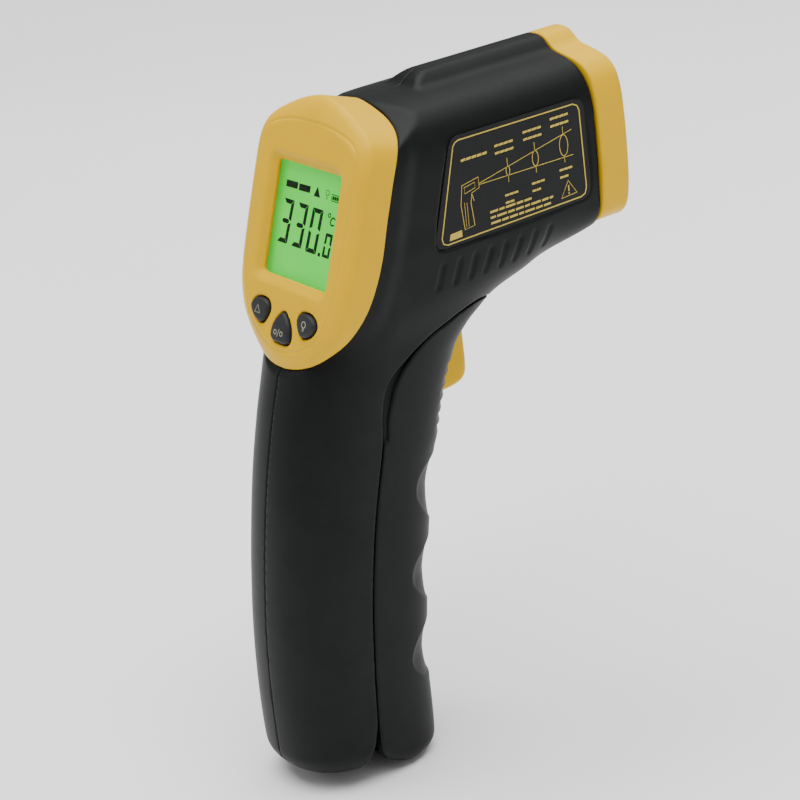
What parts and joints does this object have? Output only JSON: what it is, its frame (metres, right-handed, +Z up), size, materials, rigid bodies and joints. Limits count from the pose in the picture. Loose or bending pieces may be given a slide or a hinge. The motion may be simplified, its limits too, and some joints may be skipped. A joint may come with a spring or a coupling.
{
  "type": "infrared thermometer",
  "caption": "Pistol-grip infrared thermometer with a tilted display, three keys, a sprung trigger, a nose ring round the lens and laser, and a hinged battery door.",
  "frame": {"origin": "middle of the hand grip, on the plane of symmetry", "axes": "+Z up along the grip, +Y forward along the line of sight to the nose, +X to the holder's right"},
  "size_m": [0.0426, 0.1018, 0.1584],
  "materials": {
    "housing_plastic": "matte soft-touch",
    "yellow_plastic": "satin gloss",
    "key_rubber": "matte",
    "clear_window": "clear",
    "lcd_glass": "lit green",
    "light_guide": "diffuse",
    "grey_plastic": "matte",
    "black_plastic": "satin",
    "elastomer": "matte",
    "circuit_board": "solder mask",
    "component": "moulded",
    "gold_contact": "plated",
    "brass": "turned",
    "steel": "zinc plated",
    "spring_steel": "drawn wire",
    "ir_lens": "coated",
    "red_window": "clear",
    "foam": "closed cell",
    "battery_case": "printed",
    "red_insulation": "satin",
    "black_insulation": "satin",
    "label": "printed"
  },
  "bodies": {
    "body": {"housing_right": "housing_plastic", "housing_left": "housing_plastic", "display_bezel": "yellow_plastic", "nose_ring": "yellow_plastic", "display_window": "clear_window", "lcd_panel": "lcd_glass", "backlight": "light_guide", "lcd_holder": "grey_plastic", "zebra_strips": "elastomer", "main_board": "circuit_board", "board_screws": "steel", "board_components": "component", "buzzer": "black_plastic", "key_contacts": "gold_contact", "nose_face": "black_plastic", "laser_window": "red_window", "lens_tube": "black_plastic", "lens": "ir_lens", "lens_retainer": "black_plastic", "ir_sensor": "steel", "sensor_board": "circuit_board", "laser_module": "brass", "laser_lens": "clear_window", "laser_cradle": "black_plastic", "trigger_pin": "steel", "switch_board": "circuit_board", "trigger_switch": "component", "spring_post": "black_plastic", "trigger_spring": "spring_steel", "battery_9v": "battery_case", "battery_terminals": "steel", "battery_snap": "black_plastic", "lead_red": "red_insulation", "lead_black": "black_insulation", "laser_leads": "red_insulation", "sensor_leads": "black_insulation", "housing_screws": "steel", "label_right": "label", "label_left": "label"},
    "trigger": {"trigger": "yellow_plastic"},
    "door": {"battery_door": "housing_plastic", "door_pad": "foam"},
    "key_left": {"button_left": "key_rubber", "key_pill_left": "component"},
    "key_centre": {"button_centre": "key_rubber", "key_pill_centre": "component"},
    "key_right": {"button_right": "key_rubber", "key_pill_right": "component"}
  },
  "joints": [
    {"name": "trigger_pull", "type": "hinge", "parent": "body", "child": "trigger", "pos_m": [0, 0.026, 0.0585], "axis": [-1, 0, 0], "range_deg": [0, 7], "stiffness_Nm_per_rad": 0.3, "springref_deg": -5.73, "deforming": ["trigger_spring"]},
    {"name": "door_hinge", "type": "hinge", "parent": "body", "child": "door", "pos_m": [0, 0.0012, -0.041], "axis": [-1, 0, 0], "range_deg": [0, 55]},
    {"name": "key_left_press", "type": "slide", "parent": "body", "child": "key_left", "axis": [0, 0.9511, -0.309], "range_m": [0, 0.0007], "stiffness_N_per_m": 1500, "springref_m": -0.0004},
    {"name": "key_centre_press", "type": "slide", "parent": "body", "child": "key_centre", "axis": [0, 0.9511, -0.309], "range_m": [0, 0.0007], "stiffness_N_per_m": 1500, "springref_m": -0.0004},
    {"name": "key_right_press", "type": "slide", "parent": "body", "child": "key_right", "axis": [0, 0.9511, -0.309], "range_m": [0, 0.0007], "stiffness_N_per_m": 1500, "springref_m": -0.0004}
  ]
}
